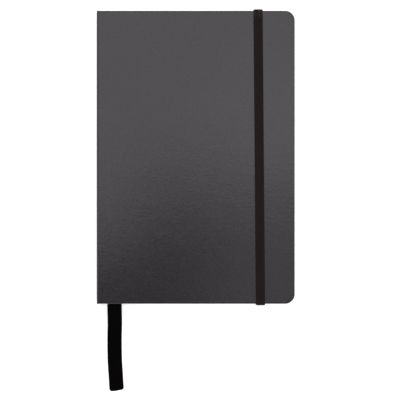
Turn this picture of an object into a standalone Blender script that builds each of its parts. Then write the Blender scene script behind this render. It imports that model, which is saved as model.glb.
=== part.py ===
"""A5 sketchbook: leatherette case, sewn page block, elastic closure and ribbon marker.

The book lies on its back cover.  +X points from the spine to the fore-edge, +Y from the
tail to the head, +Z from the back cover to the front cover.  The origin is the centre of
the back cover's outer face.  All sizes are in metres.
"""

import math

import bmesh
import bpy
from mathutils import Vector

# ---- driving dimensions: the closed book ----
BOOK_WIDTH = 0.142
BOOK_HEIGHT = 0.210
FORE_CORNER_RADIUS = 0.0068
LAYER_GAP = 0.0001

# ---- one cover, from its outer face inwards ----
SKIN_THICKNESS = 0.0005
BOARD_THICKNESS = 0.0010
TURN_IN_THICKNESS = 0.0004
TURN_IN_WIDTH = 0.0030
COVER_THICKNESS = SKIN_THICKNESS + BOARD_THICKNESS + TURN_IN_THICKNESS + 2 * LAYER_GAP
PASTEDOWN_THICKNESS = 0.0003
COVER_EDGE_ROUNDING = 0.0007

# ---- page block ----
FLYLEAF_THICKNESS = 0.0002
SIGNATURE_THICKNESS = 0.0009
SIGNATURE_COUNT = 10
HALF_COUNT = SIGNATURE_COUNT // 2
SIGNATURE_PITCH = SIGNATURE_THICKNESS + LAYER_GAP
PAGE_SQUARE = 0.0033
PAGE_CORNER_RADIUS = 0.0055
FOLD_ROUNDING = 0.0003
RIBBON_THICKNESS = 0.0003
BLOCK_BOTTOM = COVER_THICKNESS + LAYER_GAP + FLYLEAF_THICKNESS + LAYER_GAP
HALF_BLOCK = HALF_COUNT * SIGNATURE_PITCH
RIBBON_SPACE = RIBBON_THICKNESS + LAYER_GAP
BOOK_THICKNESS = 2 * BLOCK_BOTTOM + 2 * HALF_BLOCK + RIBBON_SPACE

# ---- spine, as depths from its outer face ----
SPINE_ROUNDING = 0.0020
COVER_JOINT_DEPTH = 0.0023
BOARD_JOINT_DEPTH = 0.0029
CARD_DEPTH = SKIN_THICKNESS + LAYER_GAP
CARD_THICKNESS = 0.0006
RIBBON_END_DEPTH = CARD_DEPTH + CARD_THICKNESS + LAYER_GAP
RIBBON_END_THICKNESS = 0.0002
RIBBON_END_HALF_LENGTH = 0.0080
LINING_DEPTH = RIBBON_END_DEPTH + RIBBON_END_THICKNESS + LAYER_GAP
LINING_THICKNESS = 0.00025
LINING_END_INSET = 0.0060
THREAD_RADIUS = 0.0002
THREAD_SIDES = 10
THREAD_DEPTH = LINING_DEPTH + LINING_THICKNESS + LAYER_GAP + THREAD_RADIUS
FOLD_DEPTH = THREAD_DEPTH + THREAD_RADIUS + LAYER_GAP
SEWING_STATIONS = (-0.084, -0.042, 0.0, 0.042, 0.084)

# ---- elastic closure ----
ELASTIC_WIDTH = 0.0066
ELASTIC_THICKNESS = 0.0010
ELASTIC_HEAD_X = 0.0446
ELASTIC_TAIL_X = 0.0465
ELASTIC_PRESSED = 0.00065
ELASTIC_SIDE_PLAY = 0.0003
ELASTIC_SLOT_INSET = 0.0090
ELASTIC_TAB_LENGTH = 0.0120
ELASTIC_END_TOP = 0.0034
ELASTIC_SIDE_TOP = 0.0094
ELASTIC_SHOULDER_TOP = 0.0124
ELASTIC_BEND = 0.0006
ELASTIC_PIVOT = Vector((0.0592, 0.0, -0.0025))

# ---- ribbon marker ----
RIBBON_WIDTH = 0.0105
RIBBON_LEAVES_X = -0.0586
RIBBON_HEAD_X = -0.0620
RIBBON_HEAD_Y = 0.0985
RIBBON_VISIBLE_LENGTH = 0.0641
RIBBON_FALL_LENGTH = 0.0200
RIBBON_LYING_Z = 0.0004
RIBBON_DRIFT = 0.0012
RIBBON_DRIFT_START = 0.45
RIBBON_STEP = 0.0040

# ---- places worked out from the sizes above ----
SPINE_X = -BOOK_WIDTH / 2
FORE_X = BOOK_WIDTH / 2
HEAD_Y = BOOK_HEIGHT / 2
MIDDLE_Z = BOOK_THICKNESS / 2
BACK_HINGE = Vector((SPINE_X, 0.0, 0.0))
FRONT_HINGE = Vector((SPINE_X, 0.0, BOOK_THICKNESS))
ARC_STEPS = 6
EDGE_ARC_STEPS = 3
FOLD_ARC_STEPS = 2
SHARP_ANGLE = math.radians(60)
UPRIGHT_SHARE = 0.9

# ---- finishes: linear colour, roughness ----
FINISHES = {
    "leatherette": ((0.060, 0.056, 0.062), 0.55),
    "greyboard": ((0.33, 0.29, 0.24), 0.95),
    "endpaper": ((0.72, 0.69, 0.61), 0.90),
    "page_paper": ((0.80, 0.77, 0.69), 0.90),
    "spine_card": ((0.45, 0.40, 0.33), 0.90),
    "mull": ((0.74, 0.72, 0.66), 0.95),
    "linen_thread": ((0.82, 0.80, 0.74), 0.80),
    "elastic": ((0.012, 0.011, 0.012), 0.85),
    "satin_ribbon": ((0.004, 0.004, 0.005), 0.60),
}


def clear_scene():
    """Remove every object that the file opened with."""
    for item in list(bpy.data.objects):
        bpy.data.objects.remove(item, do_unlink=True)


def new_collection(name):
    """A collection linked into the scene."""
    collection = bpy.data.collections.new(name)
    bpy.context.scene.collection.children.link(collection)
    return collection


def finish_material(name, finish):
    """A Principled material of its own for one sub-part."""
    colour, roughness = FINISHES[finish]
    material = bpy.data.materials.new(name)
    material.use_nodes = True
    shader = material.node_tree.nodes["Principled BSDF"]
    shader.inputs["Base Color"].default_value = (*colour, 1.0)
    shader.inputs["Roughness"].default_value = roughness
    shader.inputs["Metallic"].default_value = 0.0
    material.diffuse_color = (*colour, 1.0)
    return material


def add_mesh_object(name, mesh, finish, collection):
    """Link a mesh object and give it its material."""
    item = bpy.data.objects.new(name, mesh)
    collection.objects.link(item)
    if finish:
        mesh.materials.append(finish_material(name, finish))
    return item


def pivot(name, location, collection, parent=None):
    """An empty on a joint's axis, for the pieces that turn or slide there."""
    empty = bpy.data.objects.new(name, None)
    empty.empty_display_size = 0.01
    collection.objects.link(empty)
    if parent:
        empty.parent = parent
        location = location - parent.matrix_world.translation
    empty.location = location
    bpy.context.view_layer.update()
    return empty


def hang_on(item, empty):
    """Parent a piece to its joint's empty without moving it."""
    item.parent = empty
    item.location = item.location - empty.matrix_world.translation


def bevel_edges(mesh, wanted, radius, segments):
    """Round the edges that the test picks."""
    edges = [edge for edge in mesh.edges if wanted(edge)]
    bmesh.ops.bevel(
        mesh,
        geom=edges,
        offset=radius,
        segments=segments,
        profile=0.5,
        affect="EDGES",
        clamp_overlap=True,
    )


def is_upright(edge):
    """True for an edge along Z."""
    direction = edge.verts[1].co - edge.verts[0].co
    return abs(direction.z) > UPRIGHT_SHARE * direction.length


def lies_at(edge, x):
    """True for an edge whose two ends are both at one x."""
    return all(abs(vertex.co.x - x) < LAYER_GAP / 2 for vertex in edge.verts)


def box_mesh(low, high):
    """A box between two corners."""
    mesh = bmesh.new()
    bmesh.ops.create_cube(mesh, size=1.0)
    centre = (low + high) / 2
    size = high - low
    for vertex in mesh.verts:
        vertex.co = centre + Vector((vertex.co.x * size.x, vertex.co.y * size.y, vertex.co.z * size.z))
    return mesh


def finished_mesh(name, built):
    """Turn a bmesh into a mesh with its faces outward."""
    bmesh.ops.recalc_face_normals(built, faces=built.faces)
    mesh = bpy.data.meshes.new(name)
    built.to_mesh(mesh)
    built.free()
    return mesh


def leaf_slab(name, span_x, half_y, span_z, corner_radius, edge_rounding=0.0, fold_rounding=0.0):
    """A flat slab with round fore-edge corners, and round edges or a round fold if asked."""
    low = Vector((span_x[0], -half_y, span_z[0]))
    high = Vector((span_x[1], half_y, span_z[1]))
    built = box_mesh(low, high)
    if fold_rounding:
        bevel_edges(
            built,
            lambda edge: lies_at(edge, low.x) and not is_upright(edge),
            fold_rounding,
            FOLD_ARC_STEPS,
        )
    bevel_edges(
        built,
        lambda edge: is_upright(edge) and edge.verts[0].co.x > high.x - LAYER_GAP,
        corner_radius,
        ARC_STEPS,
    )
    if edge_rounding:
        bevel_edges(
            built,
            lambda edge: not is_upright(edge)
            and not lies_at(edge, low.x)
            and edge.calc_face_angle(0.0) > SHARP_ANGLE,
            edge_rounding,
            EDGE_ARC_STEPS,
        )
    return finished_mesh(name, built)


def flip_to_front(mesh):
    """Mirror a back-cover mesh through the middle of the book's thickness."""
    for vertex in mesh.vertices:
        vertex.co.z = BOOK_THICKNESS - vertex.co.z
    mesh.flip_normals()


def add_cutter(name, mesh, collection):
    """An object that only cuts: it shows as wire and never renders."""
    item = add_mesh_object(name, mesh, None, collection)
    item.hide_render = True
    item.hide_viewport = False
    item.display_type = "WIRE"
    return item


def cut(item, cutter):
    """Take the cutter's shape out of a piece."""
    modifier = item.modifiers.new(cutter.name, "BOOLEAN")
    modifier.operation = "DIFFERENCE"
    modifier.solver = "EXACT"
    modifier.object = cutter


def box_cutter(name, low, high, collection):
    """A box-shaped cutter."""
    return add_cutter(name, finished_mesh(name, box_mesh(Vector(low), Vector(high))), collection)


def outline_object(name, points, half_depth, finish, collection):
    """A flat outline drawn in XY and extruded both ways along its Z."""
    curve = bpy.data.curves.new(name, "CURVE")
    curve.dimensions = "2D"
    curve.fill_mode = "BOTH"
    curve.extrude = half_depth
    spline = curve.splines.new("POLY")
    spline.points.add(len(points) - 1)
    for point, (u, v) in zip(spline.points, points):
        point.co = (u, v, 0.0, 1.0)
    spline.use_cyclic_u = True
    curve.materials.append(finish_material(name, finish))
    item = bpy.data.objects.new(name, curve)
    collection.objects.link(item)
    return item


def arc_points(centre, radius, first_angle, last_angle):
    """Points on an arc, angles in degrees."""
    points = []
    for step in range(ARC_STEPS + 1):
        angle = math.radians(first_angle + (last_angle - first_angle) * step / ARC_STEPS)
        points.append((centre[0] + radius * math.cos(angle), centre[1] + radius * math.sin(angle)))
    return points


def build_cover(side, parts, cutters):
    """The leatherette, board and pastedown of one cover; 'back' or 'front'."""
    joint_x = SPINE_X + COVER_JOINT_DEPTH
    board_x = SPINE_X + BOARD_JOINT_DEPTH
    skin_inside = SKIN_THICKNESS + BOARD_THICKNESS + 2 * LAYER_GAP
    board_inset = SKIN_THICKNESS + LAYER_GAP
    paste_inset = TURN_IN_WIDTH + LAYER_GAP

    skin = leaf_slab(
        f"{side}_cover_skin",
        (joint_x, FORE_X),
        HEAD_Y,
        (0.0, COVER_THICKNESS),
        FORE_CORNER_RADIUS,
        edge_rounding=COVER_EDGE_ROUNDING,
    )
    pocket = leaf_slab(
        f"{side}_board_pocket",
        (SPINE_X, FORE_X - SKIN_THICKNESS),
        HEAD_Y - SKIN_THICKNESS,
        (SKIN_THICKNESS, skin_inside),
        FORE_CORNER_RADIUS - SKIN_THICKNESS,
    )
    window = leaf_slab(
        f"{side}_pastedown_window",
        (SPINE_X, FORE_X - TURN_IN_WIDTH),
        HEAD_Y - TURN_IN_WIDTH,
        (SKIN_THICKNESS + BOARD_THICKNESS, 2 * COVER_THICKNESS),
        FORE_CORNER_RADIUS - TURN_IN_WIDTH,
    )
    board = leaf_slab(
        f"{side}_board",
        (board_x, FORE_X - board_inset),
        HEAD_Y - board_inset,
        (SKIN_THICKNESS + LAYER_GAP, skin_inside - LAYER_GAP),
        FORE_CORNER_RADIUS - board_inset,
    )
    pastedown = leaf_slab(
        f"{side}_pastedown",
        (joint_x, FORE_X - paste_inset),
        HEAD_Y - paste_inset,
        (skin_inside, skin_inside + PASTEDOWN_THICKNESS),
        FORE_CORNER_RADIUS - paste_inset,
    )
    if side == "front":
        for mesh in (skin, pocket, window, board, pastedown):
            flip_to_front(mesh)
    skin_object = add_mesh_object(skin.name, skin, "leatherette", parts)
    cut(skin_object, add_cutter(pocket.name, pocket, cutters))
    cut(skin_object, add_cutter(window.name, window, cutters))
    board_object = add_mesh_object(board.name, board, "greyboard", parts)
    paste_object = add_mesh_object(pastedown.name, pastedown, "endpaper", parts)
    return skin_object, board_object, paste_object


def cut_elastic_seat(skin, board, end_x, end_sign, label, cutters):
    """The pressed channel, slot and glue recess that one end of the elastic lies in."""
    half_width = ELASTIC_WIDTH / 2 + ELASTIC_SIDE_PLAY
    slot_y = HEAD_Y - ELASTIC_SLOT_INSET
    slot_end = slot_y - ELASTIC_THICKNESS - LAYER_GAP
    tab_end = slot_y - ELASTIC_TAB_LENGTH - LAYER_GAP
    channel_top = ELASTIC_PRESSED + 2 * LAYER_GAP
    recess_floor = SKIN_THICKNESS + LAYER_GAP + BOARD_THICKNESS - ELASTIC_PRESSED

    def seat_box(name, near_y, far_y, low_z, high_z):
        ends = sorted((end_sign * near_y, end_sign * far_y))
        low = (end_x - half_width, ends[0], low_z)
        high = (end_x + half_width, ends[1], high_z)
        return box_cutter(f"{label}_{name}", low, high, cutters)

    channel = seat_box("channel", slot_end, HEAD_Y + ELASTIC_THICKNESS, -SKIN_THICKNESS, channel_top)
    cut(skin, channel)
    cut(board, channel)
    cut(board, seat_box("slot", slot_end, slot_y + LAYER_GAP, 0.0, COVER_THICKNESS))
    cut(board, seat_box("recess", tab_end, slot_y + LAYER_GAP, recess_floor, COVER_THICKNESS))


def build_page_block(parts):
    """Flyleaves and sewn signatures; returns the pieces over the ribbon, which turn."""
    span_x = (SPINE_X + FOLD_DEPTH, FORE_X - PAGE_SQUARE)
    half_y = HEAD_Y - PAGE_SQUARE

    def leaf(name, low_z, thickness, finish, fold_rounding):
        mesh = leaf_slab(
            name,
            span_x,
            half_y,
            (low_z, low_z + thickness),
            PAGE_CORNER_RADIUS,
            fold_rounding=fold_rounding,
        )
        return add_mesh_object(name, mesh, finish, parts)

    back_fly_z = COVER_THICKNESS + LAYER_GAP
    front_fly_z = BOOK_THICKNESS - back_fly_z - FLYLEAF_THICKNESS
    leaf("back_flyleaf", back_fly_z, FLYLEAF_THICKNESS, "endpaper", 0.0)
    upper = [leaf("front_flyleaf", front_fly_z, FLYLEAF_THICKNESS, "endpaper", 0.0)]
    for number in range(1, SIGNATURE_COUNT + 1):
        from_bottom = SIGNATURE_COUNT - number
        low_z = BLOCK_BOTTOM + from_bottom * SIGNATURE_PITCH
        if number <= HALF_COUNT:
            low_z += RIBBON_SPACE
        section = leaf(f"signature_{number:02d}", low_z, SIGNATURE_THICKNESS, "page_paper", FOLD_ROUNDING)
        if number <= HALF_COUNT:
            upper.append(section)
    return upper


def spine_box(name, finish, parts, depth, thickness, half_size, centre_y=0.0):
    """A flat strip standing on edge inside the spine; half_size is along Y and Z."""
    half_y, half_z = half_size
    low = Vector((SPINE_X + depth, centre_y - half_y, MIDDLE_Z - half_z))
    high = Vector((SPINE_X + depth + thickness, centre_y + half_y, MIDDLE_Z + half_z))
    return add_mesh_object(name, finished_mesh(name, box_mesh(low, high)), finish, parts)


def build_spine(parts):
    """The wrapped leatherette, card, lining, thread and the ribbon's glued end."""
    centre_x = SPINE_X + SPINE_ROUNDING
    top_z = BOOK_THICKNESS - SPINE_ROUNDING
    inner = SPINE_ROUNDING - SKIN_THICKNESS
    outline = arc_points((centre_x, SPINE_ROUNDING), SPINE_ROUNDING, 270, 180)
    outline += arc_points((centre_x, top_z), SPINE_ROUNDING, 180, 90)
    outline += arc_points((centre_x, top_z), inner, 90, 180)
    outline += arc_points((centre_x, SPINE_ROUNDING), inner, 180, 270)
    skin = outline_object("spine_skin", outline, HEAD_Y, "leatherette", parts)
    skin.rotation_euler = (math.radians(90), 0.0, 0.0)

    page_half = HEAD_Y - PAGE_SQUARE
    block_half = MIDDLE_Z - BLOCK_BOTTOM
    card_size = (page_half, MIDDLE_Z - COVER_THICKNESS)
    lining_size = (page_half - LINING_END_INSET, block_half)
    ribbon_end_size = (RIBBON_END_HALF_LENGTH, block_half)
    pieces = [
        skin,
        spine_box("spine_card", "spine_card", parts, CARD_DEPTH, CARD_THICKNESS, card_size),
        spine_box("spine_lining", "mull", parts, LINING_DEPTH, LINING_THICKNESS, lining_size),
        spine_box(
            "ribbon_glued_end",
            "satin_ribbon",
            parts,
            RIBBON_END_DEPTH,
            RIBBON_END_THICKNESS,
            ribbon_end_size,
            centre_y=page_half - RIBBON_END_HALF_LENGTH,
        ),
    ]
    for number, station in enumerate(SEWING_STATIONS, start=1):
        name = f"sewing_thread_{number}"
        built = bmesh.new()
        bmesh.ops.create_cone(
            built,
            cap_ends=True,
            segments=THREAD_SIDES,
            radius1=THREAD_RADIUS,
            radius2=THREAD_RADIUS,
            depth=2 * (block_half - LAYER_GAP),
        )
        thread = add_mesh_object(name, finished_mesh(name, built), "linen_thread", parts)
        thread.location = (SPINE_X + THREAD_DEPTH, station, MIDDLE_Z)
        pieces.append(thread)
    return pieces


def elastic_lean():
    """The angle by which the band leans between its two slots."""
    return math.atan2(ELASTIC_TAIL_X - ELASTIC_HEAD_X, BOOK_HEIGHT)


def elastic_piece(name, outline, parts):
    """A stretch of the band, drawn as seen from the fore-edge, Y and Z."""
    item = outline_object(name, outline, ELASTIC_WIDTH / 2, "elastic", parts)
    item.rotation_euler = (math.radians(90), 0.0, math.radians(90) + elastic_lean())
    item.location = ((ELASTIC_HEAD_X + ELASTIC_TAIL_X) / 2, 0.0, 0.0)
    return item


def build_elastic(parts):
    """The band: two glued ends, then what moves: its sides, shoulders and front run."""
    inner_y = HEAD_Y + LAYER_GAP
    outer_y = inner_y + ELASTIC_THICKNESS
    slot_y = HEAD_Y - ELASTIC_SLOT_INSET
    pressed_top = LAYER_GAP / 2 + ELASTIC_PRESSED
    tab_top = SKIN_THICKNESS + LAYER_GAP + BOARD_THICKNESS
    tab_low = tab_top - ELASTIC_PRESSED + LAYER_GAP
    low = LAYER_GAP / 2
    sides = []
    shoulders = []
    for label, sign in (("head", 1), ("tail", -1)):
        outline = [
            (outer_y, low + ELASTIC_BEND),
            (outer_y, ELASTIC_END_TOP),
            (inner_y, ELASTIC_END_TOP),
            (inner_y, pressed_top),
            (slot_y, pressed_top),
            (slot_y, tab_top),
            (slot_y - ELASTIC_TAB_LENGTH, tab_top),
            (slot_y - ELASTIC_TAB_LENGTH, tab_low),
            (slot_y - ELASTIC_THICKNESS, tab_low),
            (slot_y - ELASTIC_THICKNESS, low),
            (outer_y - ELASTIC_BEND, low),
        ]
        elastic_piece(f"elastic_end_{label}", [(sign * y, z) for y, z in outline], parts)
        for group, part_name, low_z, high_z in (
            (sides, "side", ELASTIC_END_TOP, ELASTIC_SIDE_TOP),
            (shoulders, "shoulder", ELASTIC_SIDE_TOP, ELASTIC_SHOULDER_TOP),
        ):
            strip = [
                (sign * inner_y, low_z + LAYER_GAP),
                (sign * outer_y, low_z + LAYER_GAP),
                (sign * outer_y, high_z),
                (sign * inner_y, high_z),
            ]
            group.append(elastic_piece(f"elastic_{part_name}_{label}", strip, parts))
    run_low = BOOK_THICKNESS + LAYER_GAP
    run_high = run_low + ELASTIC_THICKNESS
    half_run = [
        (inner_y, run_low),
        (inner_y, ELASTIC_SHOULDER_TOP + LAYER_GAP),
        (outer_y, ELASTIC_SHOULDER_TOP + LAYER_GAP),
        (outer_y, run_high - ELASTIC_BEND),
        (outer_y - ELASTIC_BEND, run_high),
    ]
    outline = half_run + [(-y, z) for y, z in reversed(half_run)]
    front = elastic_piece("elastic_front_run", outline, parts)
    return sides, shoulders, front


def ribbon_height(y):
    """Height of the ribbon's middle: between the pages, then down to the table."""
    leaves_y = -(HEAD_Y - PAGE_SQUARE)
    lands_y = -(HEAD_Y + RIBBON_FALL_LENGTH)
    if y >= leaves_y:
        return MIDDLE_Z
    if y <= lands_y:
        return RIBBON_LYING_Z
    share = (leaves_y - y) / (leaves_y - lands_y)
    eased = share * share * (3 - 2 * share)
    return MIDDLE_Z + (RIBBON_LYING_Z - MIDDLE_Z) * eased


def ribbon_centre_x(y):
    """Sideways place of the ribbon: it runs in from the spine and drifts near its end."""
    if y >= -HEAD_Y:
        share = (RIBBON_HEAD_Y - y) / (RIBBON_HEAD_Y + HEAD_Y)
        return RIBBON_HEAD_X + (RIBBON_LEAVES_X - RIBBON_HEAD_X) * math.sin(share * math.pi / 2)
    along = (-HEAD_Y - y) / RIBBON_VISIBLE_LENGTH
    drift = max(0.0, along - RIBBON_DRIFT_START) / (1 - RIBBON_DRIFT_START)
    return RIBBON_LEAVES_X + RIBBON_DRIFT * drift**2


def build_ribbon(parts):
    """The flat marker, a strip laid along its route and thickened."""
    end_y = -(HEAD_Y + RIBBON_VISIBLE_LENGTH)
    steps = round((RIBBON_HEAD_Y - end_y) / RIBBON_STEP)
    built = bmesh.new()
    bmesh.ops.create_grid(built, x_segments=1, y_segments=steps, size=0.5)
    for vertex in built.verts:
        y = RIBBON_HEAD_Y + (end_y - RIBBON_HEAD_Y) * (vertex.co.y + 0.5)
        x = ribbon_centre_x(y) + vertex.co.x * RIBBON_WIDTH
        vertex.co = (x, y, ribbon_height(y))
    ribbon = add_mesh_object("ribbon_marker", finished_mesh("ribbon_marker", built), "satin_ribbon", parts)
    thick = ribbon.modifiers.new("thickness", "SOLIDIFY")
    thick.thickness = RIBBON_THICKNESS
    thick.offset = 0.0
    return ribbon


def build():
    """Make the sketchbook."""
    clear_scene()
    parts = new_collection("sketchbook")
    cutters = new_collection("cutters")

    back_skin, back_board = build_cover("back", parts, cutters)[:2]
    front_pieces = build_cover("front", parts, cutters)
    cut_elastic_seat(back_skin, back_board, ELASTIC_HEAD_X, 1, "head", cutters)
    cut_elastic_seat(back_skin, back_board, ELASTIC_TAIL_X, -1, "tail", cutters)
    upper_pages = build_page_block(parts)
    spine_pieces = build_spine(parts)
    sides, shoulders, front_run = build_elastic(parts)
    build_ribbon(parts)

    spine_hinge = pivot("spine_hinge", BACK_HINGE, parts)
    block_hinge = pivot("front_block_hinge", FRONT_HINGE, parts, spine_hinge)
    cover_hinge = pivot("front_cover_hinge", FRONT_HINGE, parts, block_hinge)
    elastic_hinge = pivot("elastic_hinge", ELASTIC_PIVOT, parts)
    shoulder_slide = pivot("elastic_shoulder_slide", ELASTIC_PIVOT, parts, elastic_hinge)
    front_slide = pivot("elastic_front_slide", ELASTIC_PIVOT, parts, shoulder_slide)
    moving = (
        (spine_hinge, spine_pieces),
        (block_hinge, upper_pages),
        (cover_hinge, front_pieces),
        (elastic_hinge, sides),
        (shoulder_slide, shoulders),
        (front_slide, [front_run]),
    )
    for empty, pieces in moving:
        for piece in pieces:
            hang_on(piece, empty)


build()
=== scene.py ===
"""The looks of the A5 sketchbook: leather, paper, elastic, ribbon, light and camera.

All lengths are in metres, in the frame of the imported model: +X from the spine to the
fore-edge, +Y to the head, +Z out of the front cover, the book lying on its back cover.
"""

import math
import random

import bmesh
import bpy
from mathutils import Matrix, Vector, noise


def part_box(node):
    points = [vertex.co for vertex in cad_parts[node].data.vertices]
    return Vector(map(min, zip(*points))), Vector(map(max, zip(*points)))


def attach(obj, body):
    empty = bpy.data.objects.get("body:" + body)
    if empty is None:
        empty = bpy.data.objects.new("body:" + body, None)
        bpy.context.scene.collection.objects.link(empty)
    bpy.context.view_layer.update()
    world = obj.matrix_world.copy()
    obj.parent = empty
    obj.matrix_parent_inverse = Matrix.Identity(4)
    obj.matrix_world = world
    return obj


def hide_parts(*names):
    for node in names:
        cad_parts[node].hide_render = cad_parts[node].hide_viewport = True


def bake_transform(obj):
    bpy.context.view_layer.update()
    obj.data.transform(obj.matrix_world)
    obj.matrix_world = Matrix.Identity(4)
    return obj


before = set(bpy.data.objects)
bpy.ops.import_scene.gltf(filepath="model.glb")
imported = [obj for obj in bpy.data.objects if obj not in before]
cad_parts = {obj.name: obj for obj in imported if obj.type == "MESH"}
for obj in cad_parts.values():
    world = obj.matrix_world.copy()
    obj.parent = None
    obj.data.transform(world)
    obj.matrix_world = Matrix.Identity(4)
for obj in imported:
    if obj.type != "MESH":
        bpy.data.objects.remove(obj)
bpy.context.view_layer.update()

MM = 0.001

# ---- the book's main places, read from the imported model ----
BACK_LOW, BACK_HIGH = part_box("back_cover_skin")
SPINE_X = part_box("spine_skin")[0].x
FORE_X = BACK_HIGH.x
HEAD_Y = BACK_HIGH.y
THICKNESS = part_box("front_cover_skin")[1].z
MIDDLE_Z = THICKNESS / 2
COVER = BACK_HIGH.z - BACK_LOW.z
SIGNATURE_COUNT = 10
THREADS = 5
CORNER_RADIUS = 6.8 * MM

# ---- leather case: the rim is the stretch from the flat face over the edge to the turn-in ----
EDGE_INSET = 2.4 * MM
EDGE_ROUND = 0.7 * MM
EDGE_FALL = 0.02 * MM
TURN_IN = 3.0 * MM
ROUND_STEPS = 4
SPINE_ROUND = 1.5 * MM
SPINE_ROUND_STEPS = 8
SPINE_CORNER = 0.6 * MM
SPINE_DEPTH = 1.3 * MM
JOINT_DEPTH = 0.8 * MM
JOINT_RAMP = 1.2 * MM
LEATHER = 0.35 * MM
HINGE_FLAT_X = SPINE_X + 4.4 * MM
COVER_SHARES = [j / 60 * 2 - 1 for j in range(61)]
CORNER_STEPS = 28
BROAD_SWELL = 0.045 * MM
CLOSE_SWELL = 0.016 * MM
SWELL_REACH = 0.06 * MM
SWELL_FADE = 6 * MM
PUCKERS = 5
PUCKER_HEIGHT = 0.22 * MM

# ---- page block ----
LEAVES = 8
LEAF = 0.095 * MM
PAGE_CORNER = 5.5 * MM
PAGE_CORNER_STEPS = 6
LEAF_SHARES = [j / 8 * 2 - 1 for j in range(9)]
LEAF_SHIFT = 0.10 * MM
LEAF_SHORTFALL = 0.22 * MM
FOLD_STEPS = 6
ENDPAPER = 0.13 * MM
ENDPAPER_SHARES = [j / 20 * 2 - 1 for j in range(21)]
ENDPAPER_FOLD_STEPS = 24
BEND_START_X = SPINE_X + 8.0 * MM
BEND_END_X = SPINE_X + 2.6 * MM

# ---- elastic ----
BAND_WIDTH = 6.6 * MM
BAND_THICK = 1.0 * MM
BAND_RIBS = 9
RIB_POINTS = 4
BAND_RIB_HEIGHT = 0.09 * MM
BAND_YARN = 0.95 * MM
BAND_BEND = 0.9 * MM
BAND_LOWER_STEPS = 4
BAND_UPPER_STEPS = 6
BAND_GAP = 0.1 * MM
BAND_SLOT_INSET = 9.5 * MM
BAND_LOWER_Z = (0.9 * MM, 3.8 * MM)
BAND_UPPER_Z = (3.8 * MM, 12.3 * MM)
BAND_FRONT_Z = (12.3 * MM, 14.9 * MM)

# ---- ribbon ----
RIBBON_WIDTH = 10.5 * MM
RIBBON_THICK = 0.28 * MM
RIBBON_COLUMNS = 5
RIBBON_TAIL_X = -58.5 * MM
RIBBON_HEAD_X = -62.0 * MM
RIBBON_FREE = 63.9 * MM
GATHER_FROM_Y = 80.0 * MM
GATHER_TO_Y = 101.0 * MM
GATHERED_AWAY = 0.46
RIBBON_END = 7 * MM

# ---- light and camera: a panel is (name, reach in x, reach in y, share of the radiance) ----
TOP_START = Vector((0.003, -0.017, 1.50))
TOP_RADIANCE = 1.45
WORLD_STRENGTH = 0.32
FLOOR_GLOW = 0.50
FLOOR_HALF = 25.0
SOFTBOX_SIZE = (2.8, 1.9)
SOFTBOX_REACH = 2.2
SOFTBOX_HEIGHT = 1.20
SOFTBOXES = [("left", 180, 12.0), ("right", 0, 24.0), ("head", 90, 20.0), ("tail", 270, 24.0)]
TOP_PANELS = [
    ("top_far_panel", (-0.60, 0.75), (0.19, 0.90), 1.0),
    ("top_left_panel", (-0.60, 0.02), (0.0, 0.19), 0.98),
    ("top_right_panel", (0.02, 0.75), (0.0, 0.19), 1.14),
    ("low_left_panel", (-0.60, -0.095), (-0.092, 0.0), 1.0),
    ("low_right_panel", (0.005, 0.75), (-0.26, 0.0), 0.42),
]
CAMERA_XY = (3.1 * MM, -30.6 * MM)
CAMERA_DISTANCE = 1.40
CAMERA_SEES = 0.2865
SENSOR = 36.0


# ------------------------------------------------------------------ node graphs


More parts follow.
